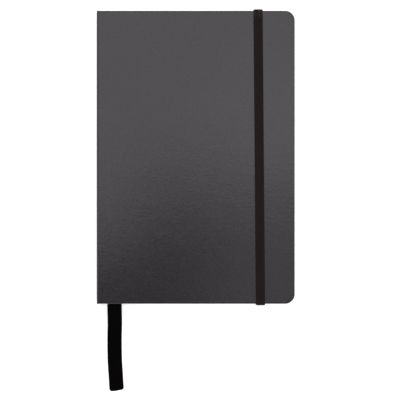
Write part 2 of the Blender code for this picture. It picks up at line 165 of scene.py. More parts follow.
class Graph:
    """A material under construction, with short calls for its nodes."""

    def __init__(self, name, colour, roughness):
        self.material = bpy.data.materials.new(name)
        self.material.use_nodes = True
        self.tree = self.material.node_tree
        self.shader = self.tree.nodes["Principled BSDF"]
        self.shader.inputs["Base Color"].default_value = (*colour, 1.0)
        self.shader.inputs["Roughness"].default_value = roughness

    def node(self, kind, inputs=(), **settings):
        """Add a node, set its properties, then set or link its inputs."""
        item = self.tree.nodes.new(kind)
        for key, value in settings.items():
            setattr(item, key, value)
        for key, value in dict(inputs).items():
            self.feed(item.inputs[key], value)
        return item

    def feed(self, socket, value):
        """Link a socket to another, or set its value."""
        if isinstance(value, bpy.types.NodeSocket):
            self.tree.links.new(value, socket)
        else:
            socket.default_value = value

    def math(self, operation, first, second=0.0):
        """One arithmetic step."""
        item = self.node("ShaderNodeMath", {0: first, 1: second}, operation=operation)
        return item.outputs[0]

    def times(self, first, second):
        """First times second."""
        return self.math("MULTIPLY", first, second)

    def plus(self, *values):
        """Sum of all the values."""
        total = values[0]
        for value in values[1:]:
            total = self.math("ADD", total, value)
        return total

    def wave(self, place, pitch):
        """A sine along a place, one turn for each pitch."""
        return self.math("SINE", self.times(place, 2 * math.pi / pitch))

    def rest(self):
        """Place on the surface before any pose bends it, in metres."""
        return self.node("ShaderNodeAttribute", attribute_name="rest").outputs["Vector"]

    def object_place(self):
        """Place on a rigid piece, in metres."""
        return self.node("ShaderNodeTexCoord").outputs["Object"]

    def stretched(self, vector, scale):
        """A place scaled differently along its three axes."""
        item = self.node("ShaderNodeMapping", {"Vector": vector, "Scale": scale})
        return item.outputs["Vector"]

    def noise(self, vector, scale, detail=3.0, rough=0.5):
        """Soft random value, about 0 to 1."""
        inputs = {"Vector": vector, "Scale": scale, "Detail": detail, "Roughness": rough}
        return self.node("ShaderNodeTexNoise", inputs).outputs["Fac"]

    def cells(self, vector, scale, feature="F1"):
        """Distance to the nearest cell point, or to a cell's edge."""
        item = self.node(
            "ShaderNodeTexVoronoi",
            {"Vector": vector, "Scale": scale},
            feature=feature,
        )
        return item.outputs["Distance"]

    def ramp(self, value, stops):
        """Colours along a value: stops are (place, (r, g, b))."""
        item = self.node("ShaderNodeValToRGB", {"Fac": value})
        elements = item.color_ramp.elements
        while len(elements) < len(stops):
            elements.new(0.5)
        for element, (place, colour) in zip(elements, stops):
            element.position = place
            element.color = (*colour, 1.0)
        return item.outputs["Color"]

    def spread(self, value, low, high, out_low, out_high):
        """Map a value from one range to another, clamped."""
        inputs = {"Value": value, "From Min": low, "From Max": high, "To Min": out_low, "To Max": out_high}
        return self.node("ShaderNodeMapRange", inputs).outputs["Result"]

    def mix(self, share, first, second):
        """Colour between two."""
        item = self.node("ShaderNodeMix", data_type="RGBA")
        self.feed(item.inputs["Factor"], share)
        self.feed(item.inputs[6], first)
        self.feed(item.inputs[7], second)
        return item.outputs[2]

    def bump(self, layers):
        """Stack heights onto the normal: (height, distance in metres, strength)."""
        normal = None
        for height, distance, strength in layers:
            inputs = {"Height": height, "Distance": distance, "Strength": strength}
            item = self.node("ShaderNodeBump", inputs)
            if normal:
                self.feed(item.inputs["Normal"], normal)
            normal = item.outputs["Normal"]
        self.feed(self.shader.inputs["Normal"], normal)

    def colour(self, socket):
        """Set what the base colour is."""
        self.feed(self.shader.inputs["Base Color"], socket)

    def roughness(self, socket):
        """Set what the roughness is."""
        self.feed(self.shader.inputs["Roughness"], socket)


def strip_place(graph):
    """Across and along a band or ribbon in metres, and both as one vector."""
    place = graph.node("ShaderNodeAttribute", attribute_name="strip").outputs["Vector"]
    parts = graph.node("ShaderNodeSeparateXYZ", {0: place})
    return parts.outputs["X"], parts.outputs["Y"], place


def leatherette():
    """Dark grey imitation leather: pebble grain, a soft sheen, slight clouding."""
    graph = Graph("leatherette", (0.016, 0.014, 0.0165), 0.12)
    place = graph.rest()
    warp = graph.node("ShaderNodeVectorMath", operation="MULTIPLY_ADD")
    wander = graph.node("ShaderNodeTexNoise", {"Vector": place, "Scale": 900.0, "Detail": 1.0})
    graph.feed(warp.inputs[0], wander.outputs["Color"])
    graph.feed(warp.inputs[1], (0.5 * MM, 0.5 * MM, 0.5 * MM))
    graph.feed(warp.inputs[2], place)
    pebbles = graph.cells(warp.outputs[0], 1500.0, "SMOOTH_F1")
    borders = graph.cells(warp.outputs[0], 1500.0, "DISTANCE_TO_EDGE")
    creases = graph.spread(borders, 0.0, 0.22, 0.0, 1.0)
    grain = graph.noise(graph.stretched(place, (0.8, 1.0, 1.0)), 760.0, 2.0, 0.6)
    wrinkles = graph.noise(graph.stretched(place, (0.22, 1.0, 1.0)), 420.0, 2.0, 0.5)
    pores = graph.noise(place, 5200.0, 2.0)
    clouds = graph.noise(place, 26.0, 4.0, 0.6)
    blotch = graph.noise(place, 130.0, 4.0, 0.65)
    mottling = graph.spread(grain, 0.3, 0.7, -0.10, 0.35)
    # The crease term paints shade into the creases between the pebbles. The clouds and grain terms are the
    # leatherette's own uneven tone.
    tone = graph.plus(graph.times(clouds, 0.35), graph.times(creases, 0.25), mottling)
    dark = (0.0096, 0.0066, 0.0098)
    middle = (0.0160, 0.0118, 0.0165)
    light = (0.0240, 0.0182, 0.0245)
    graph.colour(graph.ramp(tone, [(0.05, dark), (0.45, middle), (0.95, light)]))
    gloss = graph.plus(blotch, graph.times(pores, 0.4))
    graph.roughness(graph.spread(gloss, 0.3, 1.1, 0.09, 0.13))
    graph.bump(
        [
            (blotch, 0.25 * MM, 0.10),
            (wrinkles, 0.10 * MM, 0.14),
            (grain, 0.08 * MM, 0.33),
            (creases, 0.05 * MM, 0.08),
            (graph.math("SUBTRACT", 1.0, pebbles), 0.05 * MM, 0.09),
            (pores, 0.02 * MM, 0.07),
        ]
    )
    return graph.material


def paper(name, colour, shade, rough):
    """Uncoated paper: fibre mottling, and leaf edges that differ a little."""
    graph = Graph(name, colour, rough)
    place = graph.rest()
    fibres = graph.noise(graph.stretched(place, (1.0, 0.45, 1.0)), 1400.0, 5.0, 0.65)
    mottle = graph.noise(place, 90.0, 3.0)
    layers = graph.noise(graph.stretched(place, (0.003, 0.003, 1.0)), 5200.0, 1.0)
    tone = graph.plus(graph.times(fibres, 0.35), graph.times(mottle, 0.07), graph.times(layers, 0.40))
    graph.colour(graph.ramp(tone, [(0.22, shade), (0.54, colour)]))
    graph.roughness(graph.spread(fibres, 0.2, 0.8, rough - 0.06, rough + 0.05))
    graph.bump([(fibres, 0.03 * MM, 0.35)])
    return graph.material


def greyboard():
    """Raw recycled board with dark and light fibres."""
    graph = Graph("greyboard", (0.33, 0.29, 0.24), 0.92)
    place = graph.object_place()
    fibres = graph.noise(place, 2600.0, 6.0, 0.75)
    specks = graph.spread(graph.cells(place, 700.0), 0.0, 0.18, 1.0, 0.0)
    tone = graph.math("SUBTRACT", fibres, graph.times(specks, 0.25))
    dark = (0.16, 0.14, 0.12)
    middle = (0.30, 0.27, 0.23)
    light = (0.42, 0.38, 0.32)
    graph.colour(graph.ramp(tone, [(0.25, dark), (0.5, middle), (0.75, light)]))
    graph.roughness(graph.spread(fibres, 0.2, 0.8, 0.86, 0.97))
    graph.bump([(fibres, 0.08 * MM, 0.6)])
    return graph.material


def spine_card():
    """Smooth manila card with long fibres."""
    graph = Graph("spine_card", (0.45, 0.38, 0.28), 0.8)
    place = graph.object_place()
    fibres = graph.noise(graph.stretched(place, (1.0, 0.2, 1.0)), 1900.0, 5.0, 0.7)
    graph.colour(graph.ramp(fibres, [(0.3, (0.36, 0.29, 0.20)), (0.7, (0.50, 0.43, 0.32))]))
    graph.roughness(graph.spread(fibres, 0.2, 0.8, 0.72, 0.88))
    graph.bump([(fibres, 0.03 * MM, 0.5)])
    return graph.material


def gauze():
    """Starched mull: crossed threads under dried glue."""
    graph = Graph("mull", (0.72, 0.69, 0.60), 0.85)
    parts = graph.node("ShaderNodeSeparateXYZ", {0: graph.object_place()})
    warp = graph.wave(parts.outputs["Y"], 0.9 * MM)
    weft = graph.wave(parts.outputs["Z"], 0.9 * MM)
    threads = graph.math("MAXIMUM", warp, weft)
    glue = graph.noise(graph.object_place(), 260.0, 4.0)
    tone = graph.spread(threads, -0.4, 0.9, 0.0, 1.0)
    graph.colour(graph.ramp(tone, [(0.0, (0.50, 0.43, 0.30)), (1.0, (0.76, 0.74, 0.66))]))
    graph.roughness(graph.spread(glue, 0.3, 0.7, 0.5, 0.95))
    graph.bump([(threads, 0.12 * MM, 0.8), (glue, 0.1 * MM, 0.4)])
    return graph.material


def linen_thread():
    """Waxed thread, two plies twisted round each other."""
    graph = Graph("linen_thread", (0.78, 0.75, 0.66), 0.6)
    parts = graph.node("ShaderNodeSeparateXYZ", {0: graph.object_place()})
    slant = graph.plus(parts.outputs["Z"], graph.times(parts.outputs["Y"], 1.4))
    plies = graph.wave(slant, 0.45 * MM)
    tone = graph.spread(plies, -1.0, 1.0, 0.0, 1.0)
    graph.colour(graph.ramp(tone, [(0.0, (0.52, 0.48, 0.38)), (1.0, (0.82, 0.80, 0.72))]))
    graph.roughness(graph.spread(plies, -1.0, 1.0, 0.72, 0.5))
    graph.bump([(plies, 0.08 * MM, 0.9)])
    return graph.material


def glinting_yarns(graph, cord, run, yarns):
    """Painted highlight: tan glints on the raised yarns at some yarn crossings, where the band bends over
    the head edge.
    """
    place = graph.node("ShaderNodeSeparateXYZ", {0: graph.rest()})
    near_head = graph.spread(place.outputs["Y"], HEAD_Y - 5.6 * MM, HEAD_Y - 3.6 * MM, 0.0, 1.0)
    on_top = graph.spread(place.outputs["Z"], THICKNESS - 2.0 * MM, THICKNESS - 0.5 * MM, 0.0, 1.0)
    crossing = graph.node("ShaderNodeCombineXYZ")
    graph.feed(crossing.inputs["X"], graph.math("FLOOR", cord))
    graph.feed(crossing.inputs["Y"], graph.math("FLOOR", run))
    inputs = {"Vector": crossing.outputs["Vector"]}
    chance = graph.node("ShaderNodeTexWhiteNoise", inputs, noise_dimensions="3D")
    glint = graph.spread(chance.outputs["Value"], 0.66, 0.78, 0.0, 1.0)
    raised = graph.spread(yarns, -0.2, 0.6, 0.0, 1.0)
    return graph.times(graph.times(near_head, on_top), graph.times(glint, raised))


def braided_elastic():
    """Flat braid: covered cords side by side, crossed by slanting yarns."""
    graph = Graph("elastic_braid", (0.012, 0.011, 0.0115), 0.72)
    across, along, place = strip_place(graph)
    cord = graph.times(across, BAND_RIBS / BAND_WIDTH)
    zigzag = graph.math("PINGPONG", cord, 1.0)
    run = graph.plus(graph.times(along, 1.0 / BAND_YARN), graph.times(zigzag, 0.55))
    yarns = graph.wave(run, 1.0)
    ribs = graph.math("COSINE", graph.times(cord, 2 * math.pi))
    groove = graph.spread(ribs, -1.0, -0.35, 0.0, 1.0)
    fuzz = graph.noise(place, 3800.0, 3.0)
    lit_yarns = graph.spread(yarns, -1.0, 1.0, 0.35, 1.0)
    shade = graph.times(lit_yarns, graph.spread(groove, 0.0, 1.0, 0.45, 1.0))
    tone = graph.times(shade, graph.spread(fuzz, 0.3, 0.7, 0.75, 1.1))
    black = graph.ramp(tone, [(0.1, (0.0030, 0.0018, 0.0018)), (0.9, (0.0195, 0.0135, 0.0138))])
    # Painted highlight: a tan tint mixed in as glints on the raised yarns where the band bends over the
    # head edge.
    glint_tint = (0.075, 0.064, 0.040, 1.0)
    graph.colour(graph.mix(glinting_yarns(graph, cord, run, yarns), black, glint_tint))
    graph.roughness(graph.spread(yarns, -1.0, 1.0, 0.85, 0.6))
    graph.shader.inputs["Specular IOR Level"].default_value = 0.12
    graph.bump([(groove, 0.10 * MM, 0.7), (yarns, 0.09 * MM, 0.8), (fuzz, 0.04 * MM, 0.5)])
    return graph.material


def woven_ribbon():
    """Black taffeta ribbon: fine cross ribs, firm selvedges and a sealed end."""
    graph = Graph("satin_ribbon", (0.0035, 0.0033, 0.0036), 0.55)
    graph.shader.inputs["Specular IOR Level"].default_value = 0.02
    across, along, place = strip_place(graph)
    ribs = graph.wave(along, 0.42 * MM)
    warp = graph.wave(across, 0.30 * MM)
    weave = graph.plus(ribs, graph.times(warp, 0.45))
    slubs = graph.noise(graph.stretched(place, (1.0, 8.0, 1.0)), 420.0, 3.0)
    half = RIBBON_WIDTH / 2
    selvedge = graph.spread(graph.math("ABSOLUTE", across), half - 0.75 * MM, half - 0.55 * MM, 0.0, 1.0)
    woven = graph.spread(weave, -1.4, 1.4, 0.0, 0.7)
    tone = graph.plus(woven, graph.times(slubs, 0.3), graph.times(selvedge, 0.15))
    graph.colour(graph.ramp(tone, [(0.1, (0.0005, 0.0003, 0.0003)), (0.9, (0.0022, 0.0014, 0.0015))]))
    graph.roughness(graph.spread(weave, -1.4, 1.4, 0.72, 0.42))
    graph.bump([(weave, 0.05 * MM, 0.7), (selvedge, 0.08 * MM, 0.6), (slubs, 0.05 * MM, 0.3)])
    return graph.material


# ------------------------------------------------------------------ meshes


def finish_piece(name, vertices, faces, material, strip=None, thickness=0.0, offset=-1.0):
    """Make a smooth mesh object that remembers its rest places."""
    mesh = bpy.data.meshes.new(name)
    mesh.from_pydata([tuple(v) for v in vertices], [], faces)
    mesh.materials.append(material)
    rest = mesh.attributes.new("rest", "FLOAT_VECTOR", "POINT")
    rest.data.foreach_set("vector", [c for v in vertices for c in v])
    if strip:
        lay = mesh.attributes.new("strip", "FLOAT_VECTOR", "POINT")
        lay.data.foreach_set("vector", [c for place in strip for c in place])
    mesh.polygons.foreach_set("use_smooth", [True] * len(mesh.polygons))
    piece = bpy.data.objects.new(name, mesh)
    bpy.context.scene.collection.objects.link(piece)
    if thickness:
        solid = piece.modifiers.new("thickness", "SOLIDIFY")
        solid.thickness = thickness
        solid.offset = offset
        solid.use_even_offset = False
    return piece


def grid_faces(columns, rows, first=0):
    """Quads of a grid stored column by column."""
    faces = []
    for i in range(columns - 1):
        for j in range(rows - 1):
            a = first + i * rows + j
            faces.append((a, a + rows, a + rows + 1, a + 1))
    return faces


def spaced(low, high, step):
    """Even places from low to high, about a step apart."""
    count = max(1, round(abs(high - low) / step))
    return [low + (high - low) * i / count for i in range(count + 1)]


def corner_half(x, fore_x, half_y, radius):
    """Half height of a leaf at x, with round fore-edge corners."""
    centre = fore_x - radius
    if x <= centre:
        return half_y
    return half_y - radius + math.sqrt(max(0.0, radius**2 - (x - centre) ** 2))


def corner_columns(fore_x, radius, steps):
    """Places in x that follow a round corner evenly."""
    centre = fore_x - radius
    return [centre + radius * math.sin(math.pi / 2 * i / steps) for i in range(1, steps + 1)]


# ------------------------------------------------------------------ leather case


def swell(x, y, seed):
    """The slight unevenness of glued leather on board."""
    broad = noise.noise(Vector((x * 22, y * 22, seed)))
    close = noise.noise(Vector((x * 70, y * 70, seed + 9)))
    return BROAD_SWELL * broad + CLOSE_SWELL * close


def rim_profile(depth):
    """Outward reach and depth of the turned edge, from the ridge over to the turn-in."""
    flat_reach = EDGE_INSET - EDGE_ROUND
    profile = [
        (0.50 * MM, 0.000 * MM),
        (1.00 * MM, 0.002 * MM),
        (1.40 * MM, 0.008 * MM),
        (flat_reach, EDGE_FALL),
    ]
    radius = min(EDGE_ROUND, depth / 2)
    for step in range(1, ROUND_STEPS + 1):
        angle = math.pi / 2 * step / ROUND_STEPS
        fall = EDGE_FALL + radius * (1 - math.cos(angle))
        profile.append((flat_reach + EDGE_ROUND * math.sin(angle), fall))
    for step in range(ROUND_STEPS + 1):
        angle = math.pi / 2 * step / ROUND_STEPS
        profile.append((flat_reach + EDGE_ROUND * math.cos(angle), depth - radius * (1 - math.sin(angle))))
    profile.append((0.4 * MM, depth))
    profile.append((EDGE_INSET - TURN_IN - 0.4 * MM, depth))
    return profile


def add_rim(vertices, faces, path, flip):
    """Turn the leather over an edge. path: (vertex index, outward, inward, depth, pucker)."""
    rings = len(rim_profile(COVER))
    previous = None
    for index, outward, inward, depth, pucker in path:
        start = vertices[index]
        own = [index]
        for reach, fall in rim_profile(depth):
            outer = max(0.0, reach / EDGE_INSET)
            wave = pucker * min(1.0, outer * 1.6) * PUCKER_HEIGHT
            own.append(len(vertices))
            vertices.append(start + outward * (reach - abs(wave) * 0.3) + inward * max(0.0, fall + wave))
        if previous:
            for k in range(rings):
                quad = (previous[k], own[k], own[k + 1], previous[k + 1])
                faces.append(tuple(reversed(quad)) if flip else quad)
        previous = own


def spine_corner_cut(x):
    """How far the head and tail draw in beside the spine, where the leather rounds its corner."""
    past = min(SPINE_CORNER, max(0.0, SPINE_X + SPINE_CORNER - x))
    return SPINE_CORNER - math.sqrt(SPINE_CORNER**2 - past**2)


def cover_columns(front):
    """Columns of a cover's outer face: (x, z, inward, outward, turned depth, pucker)."""
    up = 1.0 if front else -1.0
    radius = CORNER_RADIUS - EDGE_INSET
    fore_x = FORE_X - EDGE_INSET
    columns = []
    for x, z, inward in arc_columns(front, half=True):
        columns.append((x, z, inward, Vector((0, 1, 0)), JOINT_DEPTH, 0.0))
    flat_x = spaced(SPINE_X + SPINE_ROUND, HINGE_FLAT_X, 0.4 * MM)
    flat_x += spaced(HINGE_FLAT_X, fore_x - radius, 3.0 * MM)[1:]
    for x in flat_x + corner_columns(fore_x, radius, CORNER_STEPS):
        angle = math.asin(min(1.0, max(0.0, (x - fore_x + radius) / radius)))
        outward = Vector((math.sin(angle), math.cos(angle), 0))
        ramp = min(1.0, max(0.0, (x - SPINE_X - SPINE_ROUND) / JOINT_RAMP))
        depth = JOINT_DEPTH + (COVER - JOINT_DEPTH) * ramp
        pucker = math.sin(angle * PUCKERS * 4) * math.sin(angle * 2) if angle > 0 else 0.0
        columns.append((x, THICKNESS if front else 0.0, Vector((0, 0, -up)), outward, depth, pucker))
    return columns


def build_cover_leather(side, material):
    """One cover's leather: outer face, turned edges with puckered corners, hinge strip."""
    front = side == "front"
    up = 1.0 if front else -1.0
    radius = CORNER_RADIUS - EDGE_INSET
    fore_x = FORE_X - EDGE_INSET
    face_x = SPINE_X + SPINE_ROUND
    columns = cover_columns(front)
    rows = len(COVER_SHARES)
    seed = 3.0 if front else 8.0
    vertices = []
    head_path = []
    tail_path = []
    for i, (x, z, inward, outward, depth, pucker) in enumerate(columns):
        half = corner_half(x, fore_x, HEAD_Y - EDGE_INSET, radius) - spine_corner_cut(x)
        for share in COVER_SHARES:
            y = share * half
            from_edge = min(half - abs(y), fore_x - x) / SWELL_FADE
            fade = min(1.0, from_edge, (x - face_x) / (4 * MM))
            lift = swell(x, y, seed) - (0.0 if front else SWELL_REACH)
            vertices.append(Vector((x, y, z + up * lift * max(0.0, fade))))
        head_path.append((i * rows + rows - 1, outward, inward, depth, pucker))
        mirrored = Vector((outward.x, -outward.y, 0))
        tail_path.append((i * rows, mirrored, inward, depth, pucker))
    faces = grid_faces(len(columns), rows)
    last = (len(columns) - 1) * rows
    fore_path = []
    for j in range(rows - 2, 0, -1):
        fore_path.append((last + j, Vector((1, 0, 0)), Vector((0, 0, -up)), COVER, 0.0))
    add_rim(vertices, faces, head_path + fore_path + list(reversed(tail_path)), False)
    if not front:
        faces = [tuple(reversed(face)) for face in faces]
    return finish_piece(f"{side}_leather", vertices, faces, material, thickness=LEATHER)


def arc_columns(front, half):
    """(x, z, inward) round one corner of the spine; half: the part that belongs to the cover."""
    centre = Vector((SPINE_X + SPINE_ROUND, 0, THICKNESS - SPINE_ROUND if front else SPINE_ROUND))
    first, last = (135, 90) if front else (180, 270)
    if not half:
        first, last = (180, 135)
    columns = []
    for step in range(SPINE_ROUND_STEPS + 1):
        angle = math.radians(first + (last - first) * step / SPINE_ROUND_STEPS)
        direction = Vector((math.cos(angle), 0, math.sin(angle)))
        place = centre + direction * SPINE_ROUND
        columns.append((place.x, place.z, -direction))
    return columns[:-1] if half else columns


def spine_strip(name, columns, depths, material):
    """A strip of leather down the spine, turned in at the head and tail."""
    half_y = HEAD_Y - EDGE_INSET
    vertices = []
    head_path = []
    tail_path = []
    rows = len(COVER_SHARES)
    for i, ((x, z, inward), depth) in enumerate(zip(columns, depths)):
        half = half_y - spine_corner_cut(x)
        for share in COVER_SHARES:
            vertices.append(Vector((x, share * half, z)))
        tail_path.append((i * rows, Vector((0, -1, 0)), inward, depth, 0.0))
        head_path.append((i * rows + rows - 1, Vector((0, 1, 0)), inward, depth, 0.0))
    faces = grid_faces(len(columns), rows)
    add_rim(vertices, faces, head_path, False)
    add_rim(vertices, faces, tail_path, True)
    return finish_piece(name, vertices, faces, material, thickness=LEATHER)


def build_spine_leather(material):
    """The spine's wall and, as a second piece, the bend up to the front joint."""
    heights = spaced(SPINE_ROUND, THICKNESS - SPINE_ROUND, 0.7 * MM)
    wall = [(SPINE_X, z, Vector((1, 0, 0))) for z in heights]
    deep_from = 3
    depths = []
    for i in range(len(wall)):
        from_end = min(i, len(wall) - 1 - i)
        depths.append(JOINT_DEPTH + (SPINE_DEPTH - JOINT_DEPTH) * min(1.0, from_end / deep_from))
    bend = arc_columns(True, half=False)
    wall_piece = spine_strip("spine_leather", wall, depths, material)
    bend_piece = spine_strip("front_joint_leather", bend, [JOINT_DEPTH] * len(bend), material)
    return wall_piece, bend_piece


# ------------------------------------------------------------------ paper


def leaf_columns(fold_x, fore_x, corner):
    """Places in x along a leaf from its fold, closer together where it bends and at its corners."""
    near = spaced(BEND_END_X, BEND_START_X, 0.5 * MM)
    far = spaced(BEND_START_X, fore_x - corner, 14 * MM)[1:]
    places = near + far + corner_columns(fore_x, corner, PAGE_CORNER_STEPS)
    return [x for x in places if x > fold_x]


def build_signature(number, material, rng):
    """A section of four folded sheets, eight leaves, nested round one fold."""
    low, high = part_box(f"signature_{number:02d}")
    pitch = (high.z - low.z) / LEAVES
    half_y = high.y
    middle = (low.z + high.z) / 2
    vertices = []
    faces = []
    fold_x = low.x + 3.5 * pitch
    for sheet in range(LEAVES // 2):
        radius = (LEAVES / 2 - 0.5 - sheet) * pitch
        shift_y = rng.uniform(-LEAF_SHIFT, LEAF_SHIFT)
        path = []
        for sign in (1, -1):
            fore_x = high.x + rng.uniform(-LEAF_SHORTFALL, 0.0)
            leaf_x = leaf_columns(fold_x, fore_x, PAGE_CORNER)
            run = [(x, middle + sign * radius, fore_x) for x in leaf_x]
            if sign < 0:
                path += run
                continue
            path += reversed(run)
            for k in range(FOLD_STEPS + 1):
                angle = math.radians(90 + 180 * k / FOLD_STEPS)
                z = middle + radius * math.sin(angle)
                path.append((fold_x + radius * math.cos(angle), z, fore_x))
        first = len(vertices)
        for x, z, fore_x in path:
            half = corner_half(x, fore_x, half_y, PAGE_CORNER)
            for share in LEAF_SHARES:
                vertices.append(Vector((x, share * half + shift_y, z)))
        faces += grid_faces(len(path), len(LEAF_SHARES), first)
    name = f"signature_{number:02d}_leaves"
    return finish_piece(name, vertices, faces, material, thickness=LEAF, offset=0.0)


def build_endpaper(side, material):
    """Pastedown and flyleaf: one sheet folded at the joint. Also gives its two levels in z."""
    front = side == "front"
    up = 1.0 if front else -1.0
    outer = THICKNESS if front else 0.0
    leaf_low, leaf_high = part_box(f"{side}_flyleaf")
    paste_z = outer - up * (COVER + 0.02 * MM)
    leaf_z = (leaf_low.z + leaf_high.z) / 2
    paste_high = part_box(f"{side}_pastedown")[1]
    radius = abs(paste_z - leaf_z) / 2
    fold_x = leaf_low.x + radius
    path = []
    for x in reversed(leaf_columns(fold_x, leaf_high.x, PAGE_CORNER)):
        path.append((x, leaf_z, corner_half(x, leaf_high.x, leaf_high.y, PAGE_CORNER)))
    for k in range(ENDPAPER_FOLD_STEPS + 1):
        angle = math.pi * k / ENDPAPER_FOLD_STEPS
        share = (1 - math.cos(angle)) / 2
        x = fold_x - radius * math.sin(angle)
        path.append((x, leaf_z + (paste_z - leaf_z) * share, leaf_high.y))
    corner = CORNER_RADIUS - (FORE_X - paste_high.x)
    for x in leaf_columns(fold_x, paste_high.x, corner):
        path.append((x, paste_z, corner_half(x, paste_high.x, paste_high.y, corner)))
    vertices = [Vector((x, share * half, z)) for x, z, half in path for share in ENDPAPER_SHARES]
    faces = grid_faces(len(path), len(ENDPAPER_SHARES))
    name = f"{side}_endpaper"
    piece = finish_piece(name, vertices, faces, material, thickness=ENDPAPER, offset=0.0)
    return piece, min(leaf_z, paste_z), max(leaf_z, paste_z)


# ------------------------------------------------------------------ bands


def sweep_strip(name, stations, width, thick, material, ribs, rib_height, first_along=0.0):
    """A flat band along stations of (place, across, normal), with a ribbed face and round edges."""
    count = ribs * RIB_POINTS
    outline = []
    for k in range(count + 1):
        u = -1 + 2 * k / count
        edge = math.sqrt(max(0.0, 1 - abs(u) ** 8))
        lift = rib_height * (0.5 - 0.5 * math.cos(2 * math.pi * k / RIB_POINTS)) if ribs > 1 else 0.0
        outline.append((u * width / 2, (thick / 2 - rib_height + lift) * edge))
    loop = outline + [(x, -z) for x, z in reversed(outline[1:-1])]
    vertices = []
    strip = []
    along = first_along
    previous = None
    for place, across, normal in stations:
        if previous is not None:
            along += (place - previous).length
        previous = place
        for x, z in loop:
            vertices.append(place + across * x + normal * z)
            strip.append((x, along, z))
    size = len(loop)
    faces = []
    for i in range(len(stations) - 1):
        for k in range(size):
            a = i * size + k
            b = i * size + (k + 1) % size
            faces.append((a, b, b + size, a + size))
    faces.append(tuple(reversed(range(size))))
    last = (len(stations) - 1) * size
    faces.append(tuple(range(last, last + size)))
    return finish_piece(name, vertices, faces, material, strip=strip)


def smooth_path(points, step):
    """A Catmull-Rom curve through points, sampled about a step apart."""
    padded = [points[0] * 2 - points[1]] + list(points) + [points[-1] * 2 - points[-2]]
    result = []
    for i in range(1, len(padded) - 2):
        a, b, c, d = padded[i - 1 : i + 3]
        pieces = max(1, round((c - b).length / step))
        for k in range(pieces):
            t = k / pieces
            bend = (a * 2 - b * 5 + c * 4 - d) * t**2
            twist = (b * 3 - a - c * 3 + d) * t**3
            result.append((b * 2 + (c - a) * t + bend + twist) * 0.5)
    result.append(points[-1])
    return result


def band_profile():
    """The band's middle line as (y, z) from under the back cover round to it again."""
    side_y = HEAD_Y + BAND_GAP + BAND_THICK / 2
    top_z = THICKNESS + BAND_GAP + BAND_THICK / 2
    low_z = BAND_THICK / 2
    slot_y = HEAD_Y - BAND_SLOT_INSET
    bend_y = side_y - BAND_BEND
    half = [(y, low_z) for y in spaced(slot_y, bend_y, 1.2 * MM)]
    for step in range(1, BAND_LOWER_STEPS + 1):
        angle = math.pi / 2 * step / BAND_LOWER_STEPS
        rise = (BAND_LOWER_Z[0] - low_z) * (1 - math.cos(angle))
        half.append((bend_y + BAND_BEND * math.sin(angle), low_z + rise))
    for low, high in (BAND_LOWER_Z, BAND_UPPER_Z, (BAND_FRONT_Z[0], top_z - BAND_BEND)):
        half += [(side_y, z) for z in spaced(low, high, 0.3 * MM)[1:]]
    for step in range(1, BAND_UPPER_STEPS + 1):
        angle = math.pi / 2 * step / BAND_UPPER_STEPS
        half.append((bend_y + BAND_BEND * math.cos(angle), top_z - BAND_BEND + BAND_BEND * math.sin(angle)))
    across_top = [(y, top_z) for y in spaced(bend_y, -bend_y, 2.0 * MM)[1:-1]]
    return half + across_top + [(-y, z) for y, z in reversed(half)]


def build_elastic(material):
    """The band, cut into stretches where the bodies that carry it meet."""
    head_low, head_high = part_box("elastic_end_head")
    tail_low, tail_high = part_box("elastic_end_tail")
    head_x = (head_low.x + head_high.x) / 2
    tail_x = (tail_low.x + tail_high.x) / 2
    places = []
    for y, z in band_profile():
        share = (HEAD_Y - y) / (2 * HEAD_Y)
        places.append(Vector((head_x + (tail_x - head_x) * share, y, z)))
    stations = []
    across = Vector((1, (tail_x - head_x) / (2 * HEAD_Y), 0)).normalized()
    for i, place in enumerate(places):
        ahead = places[min(i + 1, len(places) - 1)] - places[max(i - 1, 0)]
        stations.append((place, across, ahead.normalized().cross(across) * -1))
    cuts = [0]
    for i in range(1, len(places)):
        for level in (BAND_LOWER_Z[0], BAND_LOWER_Z[1], BAND_UPPER_Z[1]):
            if abs(places[i].z - level) < 1e-6 and abs(places[i].y) > HEAD_Y:
                cuts.append(i)
    cuts.append(len(places) - 1)
    names = ("head_end", "head_lower", "head_upper", "front", "tail_upper", "tail_lower", "tail_end")
    pieces = {}
    along = 0.0
    for name, first, last in zip(names, cuts, cuts[1:]):
        part = stations[first : last + 1]
        pieces[name] = sweep_strip(
            f"elastic_band_{name}",
            part,
            BAND_WIDTH,
            BAND_THICK,
            material,
            BAND_RIBS,
            BAND_RIB_HEIGHT,
            along,
        )
        along += sum((b[0] - a[0]).length for a, b in zip(part, part[1:]))
    return pieces


